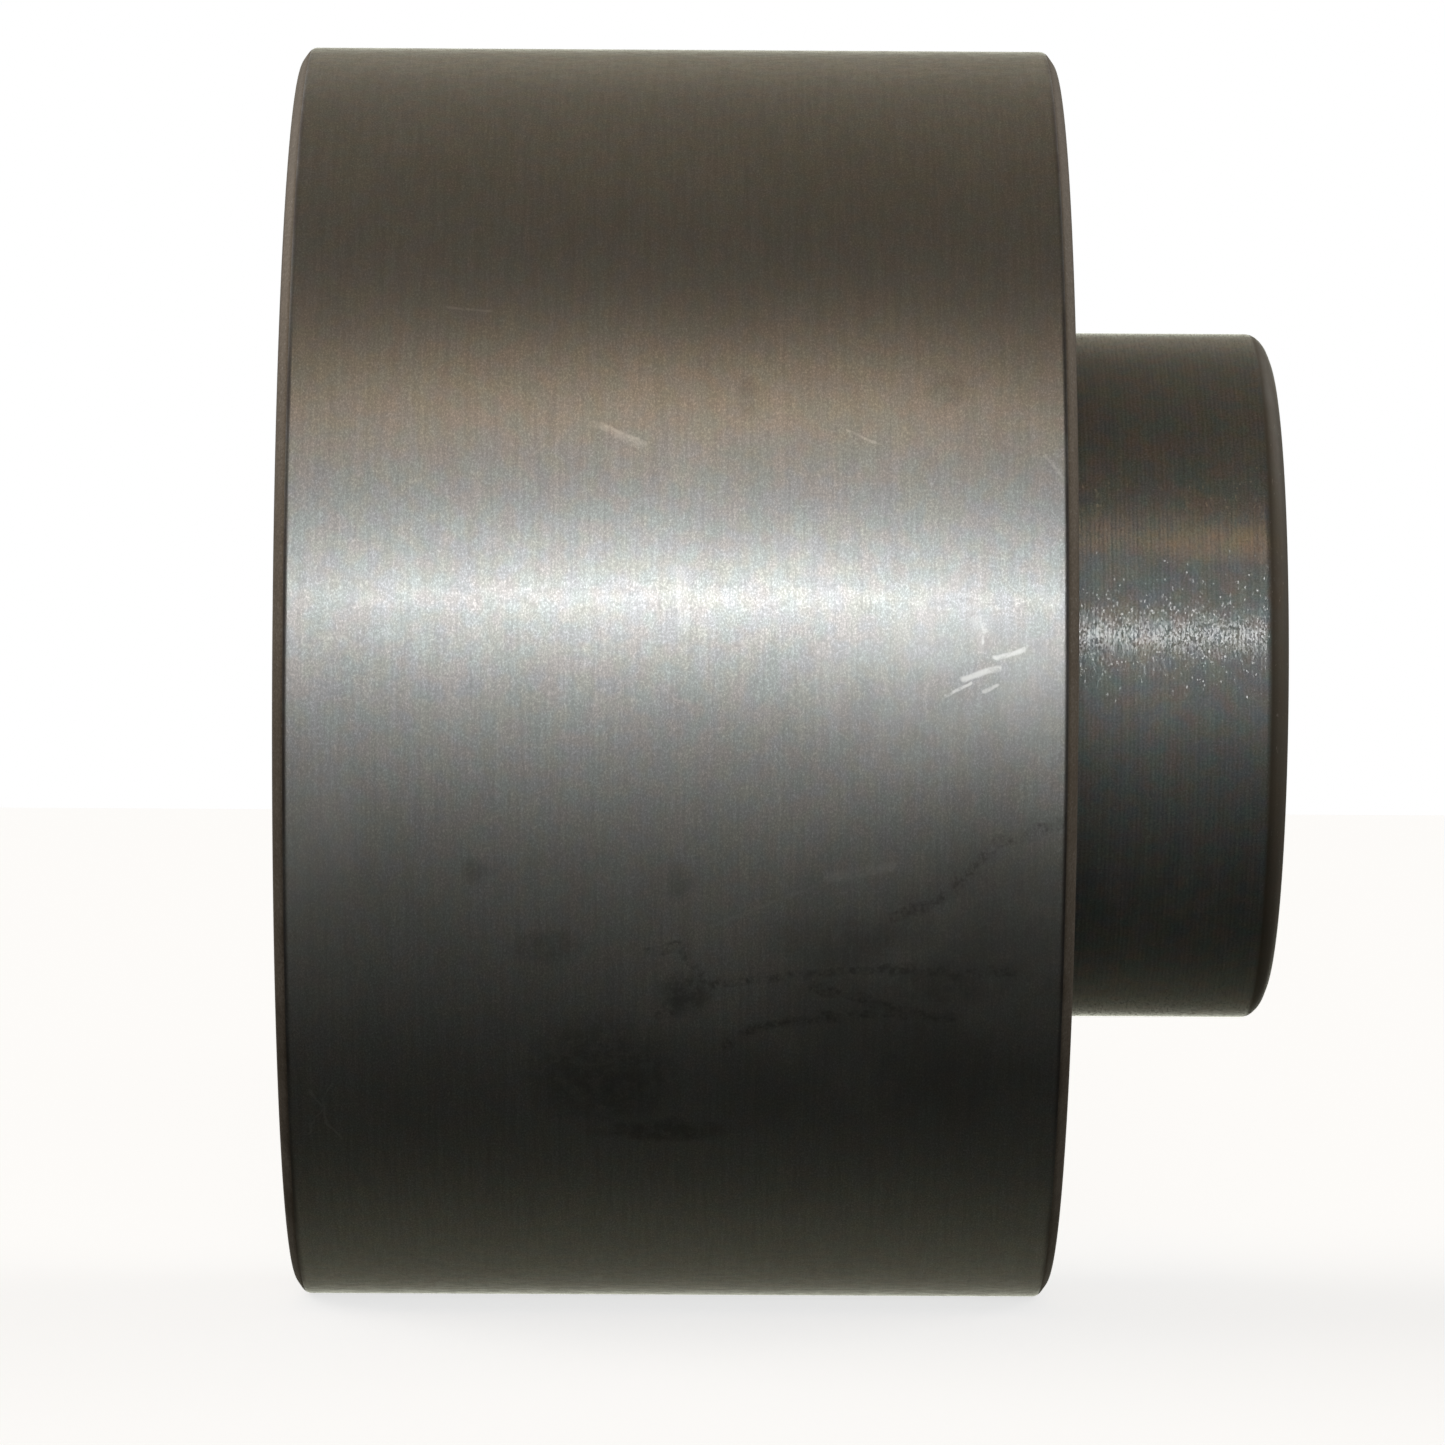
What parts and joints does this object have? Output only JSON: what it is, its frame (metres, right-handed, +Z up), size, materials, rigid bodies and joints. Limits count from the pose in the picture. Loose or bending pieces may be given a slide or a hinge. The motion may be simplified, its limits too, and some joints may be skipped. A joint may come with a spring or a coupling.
{
  "type": "cam follower",
  "caption": "Yoke-type cam follower: a thick-walled ground steel roller on caged cylindrical rollers, sealed on both sides, with a turned hub and a through-bore.",
  "frame": {"origin": "on the axis of rotation, in the middle of the track's width", "axes": "+Y along the axis of rotation, towards the hub; +Z up; +X across"},
  "size_m": [0.0636, 0.0496, 0.0636],
  "materials": {
    "ground_steel": "hardened, track ground, edges left brown-black from heat treatment",
    "blackened_steel": "fine turned and blackened",
    "plate_steel": "hardened, faced and blackened",
    "roller_steel": "ground and honed",
    "cage_steel": "machined, lightly oiled",
    "seal_rubber": "matte moulded nitrile"
  },
  "bodies": {
    "inner_assembly": {"inner_ring": "blackened_steel", "end_plate_plain": "plate_steel", "end_plate_hub": "plate_steel"},
    "outer_assembly": {"outer_ring": "ground_steel", "seal_plain": "seal_rubber", "seal_hub": "seal_rubber"},
    "cage_plain": {"cage_plain": "cage_steel"},
    "roller_plain_01": {"roller_plain_01": "roller_steel"},
    "roller_plain_02": {"roller_plain_02": "roller_steel"},
    "roller_plain_03": {"roller_plain_03": "roller_steel"},
    "roller_plain_04": {"roller_plain_04": "roller_steel"},
    "roller_plain_05": {"roller_plain_05": "roller_steel"},
    "roller_plain_06": {"roller_plain_06": "roller_steel"},
    "roller_plain_07": {"roller_plain_07": "roller_steel"},
    "roller_plain_08": {"roller_plain_08": "roller_steel"},
    "roller_plain_09": {"roller_plain_09": "roller_steel"},
    "roller_plain_10": {"roller_plain_10": "roller_steel"},
    "roller_plain_11": {"roller_plain_11": "roller_steel"},
    "roller_plain_12": {"roller_plain_12": "roller_steel"},
    "roller_plain_13": {"roller_plain_13": "roller_steel"},
    "roller_plain_14": {"roller_plain_14": "roller_steel"},
    "roller_plain_15": {"roller_plain_15": "roller_steel"},
    "roller_plain_16": {"roller_plain_16": "roller_steel"},
    "cage_hub": {"cage_hub": "cage_steel"},
    "roller_hub_01": {"roller_hub_01": "roller_steel"},
    "roller_hub_02": {"roller_hub_02": "roller_steel"},
    "roller_hub_03": {"roller_hub_03": "roller_steel"},
    "roller_hub_04": {"roller_hub_04": "roller_steel"},
    "roller_hub_05": {"roller_hub_05": "roller_steel"},
    "roller_hub_06": {"roller_hub_06": "roller_steel"},
    "roller_hub_07": {"roller_hub_07": "roller_steel"},
    "roller_hub_08": {"roller_hub_08": "roller_steel"},
    "roller_hub_09": {"roller_hub_09": "roller_steel"},
    "roller_hub_10": {"roller_hub_10": "roller_steel"},
    "roller_hub_11": {"roller_hub_11": "roller_steel"},
    "roller_hub_12": {"roller_hub_12": "roller_steel"},
    "roller_hub_13": {"roller_hub_13": "roller_steel"},
    "roller_hub_14": {"roller_hub_14": "roller_steel"},
    "roller_hub_15": {"roller_hub_15": "roller_steel"},
    "roller_hub_16": {"roller_hub_16": "roller_steel"}
  },
  "joints": [
    {"name": "outer_spin", "type": "hinge", "parent": "inner_assembly", "child": "outer_assembly", "pos_m": [0, 0, 0], "axis": [0, 1, 0], "continuous": true},
    {"name": "cage_plain_spin", "type": "hinge", "parent": "inner_assembly", "child": "cage_plain", "pos_m": [0, 0, 0], "axis": [0, 1, 0], "continuous": true},
    {"name": "roller_plain_01_spin", "type": "hinge", "parent": "cage_plain", "child": "roller_plain_01", "pos_m": [0, -0.00705, 0.02143], "axis": [0, 1, 0], "continuous": true},
    {"name": "roller_plain_02_spin", "type": "hinge", "parent": "cage_plain", "child": "roller_plain_02", "pos_m": [0.0082, -0.00705, 0.0198], "axis": [0, 1, 0], "continuous": true},
    {"name": "roller_plain_03_spin", "type": "hinge", "parent": "cage_plain", "child": "roller_plain_03", "pos_m": [0.01515, -0.00705, 0.01515], "axis": [0, 1, 0], "continuous": true},
    {"name": "roller_plain_04_spin", "type": "hinge", "parent": "cage_plain", "child": "roller_plain_04", "pos_m": [0.0198, -0.00705, 0.0082], "axis": [0, 1, 0], "continuous": true},
    {"name": "roller_plain_05_spin", "type": "hinge", "parent": "cage_plain", "child": "roller_plain_05", "pos_m": [0.02143, -0.00705, 0], "axis": [0, 1, 0], "continuous": true},
    {"name": "roller_plain_06_spin", "type": "hinge", "parent": "cage_plain", "child": "roller_plain_06", "pos_m": [0.0198, -0.00705, -0.0082], "axis": [0, 1, 0], "continuous": true},
    {"name": "roller_plain_07_spin", "type": "hinge", "parent": "cage_plain", "child": "roller_plain_07", "pos_m": [0.01515, -0.00705, -0.01515], "axis": [0, 1, 0], "continuous": true},
    {"name": "roller_plain_08_spin", "type": "hinge", "parent": "cage_plain", "child": "roller_plain_08", "pos_m": [0.0082, -0.00705, -0.0198], "axis": [0, 1, 0], "continuous": true},
    {"name": "roller_plain_09_spin", "type": "hinge", "parent": "cage_plain", "child": "roller_plain_09", "pos_m": [0, -0.00705, -0.02143], "axis": [0, 1, 0], "continuous": true},
    {"name": "roller_plain_10_spin", "type": "hinge", "parent": "cage_plain", "child": "roller_plain_10", "pos_m": [-0.0082, -0.00705, -0.0198], "axis": [0, 1, 0], "continuous": true},
    {"name": "roller_plain_11_spin", "type": "hinge", "parent": "cage_plain", "child": "roller_plain_11", "pos_m": [-0.01515, -0.00705, -0.01515], "axis": [0, 1, 0], "continuous": true},
    {"name": "roller_plain_12_spin", "type": "hinge", "parent": "cage_plain", "child": "roller_plain_12", "pos_m": [-0.0198, -0.00705, -0.0082], "axis": [0, 1, 0], "continuous": true},
    {"name": "roller_plain_13_spin", "type": "hinge", "parent": "cage_plain", "child": "roller_plain_13", "pos_m": [-0.02143, -0.00705, 0], "axis": [0, 1, 0], "continuous": true},
    {"name": "roller_plain_14_spin", "type": "hinge", "parent": "cage_plain", "child": "roller_plain_14", "pos_m": [-0.0198, -0.00705, 0.0082], "axis": [0, 1, 0], "continuous": true},
    {"name": "roller_plain_15_spin", "type": "hinge", "parent": "cage_plain", "child": "roller_plain_15", "pos_m": [-0.01515, -0.00705, 0.01515], "axis": [0, 1, 0], "continuous": true},
    {"name": "roller_plain_16_spin", "type": "hinge", "parent": "cage_plain", "child": "roller_plain_16", "pos_m": [-0.0082, -0.00705, 0.0198], "axis": [0, 1, 0], "continuous": true},
    {"name": "cage_hub_spin", "type": "hinge", "parent": "inner_assembly", "child": "cage_hub", "pos_m": [0, 0, 0], "axis": [0, 1, 0], "continuous": true},
    {"name": "roller_hub_01_spin", "type": "hinge", "parent": "cage_hub", "child": "roller_hub_01", "pos_m": [0, 0.00705, 0.02143], "axis": [0, 1, 0], "continuous": true},
    {"name": "roller_hub_02_spin", "type": "hinge", "parent": "cage_hub", "child": "roller_hub_02", "pos_m": [0.0082, 0.00705, 0.0198], "axis": [0, 1, 0], "continuous": true},
    {"name": "roller_hub_03_spin", "type": "hinge", "parent": "cage_hub", "child": "roller_hub_03", "pos_m": [0.01515, 0.00705, 0.01515], "axis": [0, 1, 0], "continuous": true},
    {"name": "roller_hub_04_spin", "type": "hinge", "parent": "cage_hub", "child": "roller_hub_04", "pos_m": [0.0198, 0.00705, 0.0082], "axis": [0, 1, 0], "continuous": true},
    {"name": "roller_hub_05_spin", "type": "hinge", "parent": "cage_hub", "child": "roller_hub_05", "pos_m": [0.02143, 0.00705, 0], "axis": [0, 1, 0], "continuous": true},
    {"name": "roller_hub_06_spin", "type": "hinge", "parent": "cage_hub", "child": "roller_hub_06", "pos_m": [0.0198, 0.00705, -0.0082], "axis": [0, 1, 0], "continuous": true},
    {"name": "roller_hub_07_spin", "type": "hinge", "parent": "cage_hub", "child": "roller_hub_07", "pos_m": [0.01515, 0.00705, -0.01515], "axis": [0, 1, 0], "continuous": true},
    {"name": "roller_hub_08_spin", "type": "hinge", "parent": "cage_hub", "child": "roller_hub_08", "pos_m": [0.0082, 0.00705, -0.0198], "axis": [0, 1, 0], "continuous": true},
    {"name": "roller_hub_09_spin", "type": "hinge", "parent": "cage_hub", "child": "roller_hub_09", "pos_m": [0, 0.00705, -0.02143], "axis": [0, 1, 0], "continuous": true},
    {"name": "roller_hub_10_spin", "type": "hinge", "parent": "cage_hub", "child": "roller_hub_10", "pos_m": [-0.0082, 0.00705, -0.0198], "axis": [0, 1, 0], "continuous": true},
    {"name": "roller_hub_11_spin", "type": "hinge", "parent": "cage_hub", "child": "roller_hub_11", "pos_m": [-0.01515, 0.00705, -0.01515], "axis": [0, 1, 0], "continuous": true},
    {"name": "roller_hub_12_spin", "type": "hinge", "parent": "cage_hub", "child": "roller_hub_12", "pos_m": [-0.0198, 0.00705, -0.0082], "axis": [0, 1, 0], "continuous": true},
    {"name": "roller_hub_13_spin", "type": "hinge", "parent": "cage_hub", "child": "roller_hub_13", "pos_m": [-0.02143, 0.00705, 0], "axis": [0, 1, 0], "continuous": true},
    {"name": "roller_hub_14_spin", "type": "hinge", "parent": "cage_hub", "child": "roller_hub_14", "pos_m": [-0.0198, 0.00705, 0.0082], "axis": [0, 1, 0], "continuous": true},
    {"name": "roller_hub_15_spin", "type": "hinge", "parent": "cage_hub", "child": "roller_hub_15", "pos_m": [-0.01515, 0.00705, 0.01515], "axis": [0, 1, 0], "continuous": true},
    {"name": "roller_hub_16_spin", "type": "hinge", "parent": "cage_hub", "child": "roller_hub_16", "pos_m": [-0.0082, 0.00705, 0.0198], "axis": [0, 1, 0], "continuous": true}
  ],
  "couplings": [
    {"joint": "cage_plain_spin", "follows": "outer_spin", "ratio": 0.55556},
    {"joint": "roller_plain_01_spin", "follows": "outer_spin", "ratio": 4.4444},
    {"joint": "roller_plain_02_spin", "follows": "outer_spin", "ratio": 4.4444},
    {"joint": "roller_plain_03_spin", "follows": "outer_spin", "ratio": 4.4444},
    {"joint": "roller_plain_04_spin", "follows": "outer_spin", "ratio": 4.4444},
    {"joint": "roller_plain_05_spin", "follows": "outer_spin", "ratio": 4.4444},
    {"joint": "roller_plain_06_spin", "follows": "outer_spin", "ratio": 4.4444},
    {"joint": "roller_plain_07_spin", "follows": "outer_spin", "ratio": 4.4444},
    {"joint": "roller_plain_08_spin", "follows": "outer_spin", "ratio": 4.4444},
    {"joint": "roller_plain_09_spin", "follows": "outer_spin", "ratio": 4.4444},
    {"joint": "roller_plain_10_spin", "follows": "outer_spin", "ratio": 4.4444},
    {"joint": "roller_plain_11_spin", "follows": "outer_spin", "ratio": 4.4444},
    {"joint": "roller_plain_12_spin", "follows": "outer_spin", "ratio": 4.4444},
    {"joint": "roller_plain_13_spin", "follows": "outer_spin", "ratio": 4.4444},
    {"joint": "roller_plain_14_spin", "follows": "outer_spin", "ratio": 4.4444},
    {"joint": "roller_plain_15_spin", "follows": "outer_spin", "ratio": 4.4444},
    {"joint": "roller_plain_16_spin", "follows": "outer_spin", "ratio": 4.4444},
    {"joint": "cage_hub_spin", "follows": "outer_spin", "ratio": 0.55556},
    {"joint": "roller_hub_01_spin", "follows": "outer_spin", "ratio": 4.4444},
    {"joint": "roller_hub_02_spin", "follows": "outer_spin", "ratio": 4.4444},
    {"joint": "roller_hub_03_spin", "follows": "outer_spin", "ratio": 4.4444},
    {"joint": "roller_hub_04_spin", "follows": "outer_spin", "ratio": 4.4444},
    {"joint": "roller_hub_05_spin", "follows": "outer_spin", "ratio": 4.4444},
    {"joint": "roller_hub_06_spin", "follows": "outer_spin", "ratio": 4.4444},
    {"joint": "roller_hub_07_spin", "follows": "outer_spin", "ratio": 4.4444},
    {"joint": "roller_hub_08_spin", "follows": "outer_spin", "ratio": 4.4444},
    {"joint": "roller_hub_09_spin", "follows": "outer_spin", "ratio": 4.4444},
    {"joint": "roller_hub_10_spin", "follows": "outer_spin", "ratio": 4.4444},
    {"joint": "roller_hub_11_spin", "follows": "outer_spin", "ratio": 4.4444},
    {"joint": "roller_hub_12_spin", "follows": "outer_spin", "ratio": 4.4444},
    {"joint": "roller_hub_13_spin", "follows": "outer_spin", "ratio": 4.4444},
    {"joint": "roller_hub_14_spin", "follows": "outer_spin", "ratio": 4.4444},
    {"joint": "roller_hub_15_spin", "follows": "outer_spin", "ratio": 4.4444},
    {"joint": "roller_hub_16_spin", "follows": "outer_spin", "ratio": 4.4444}
  ]
}
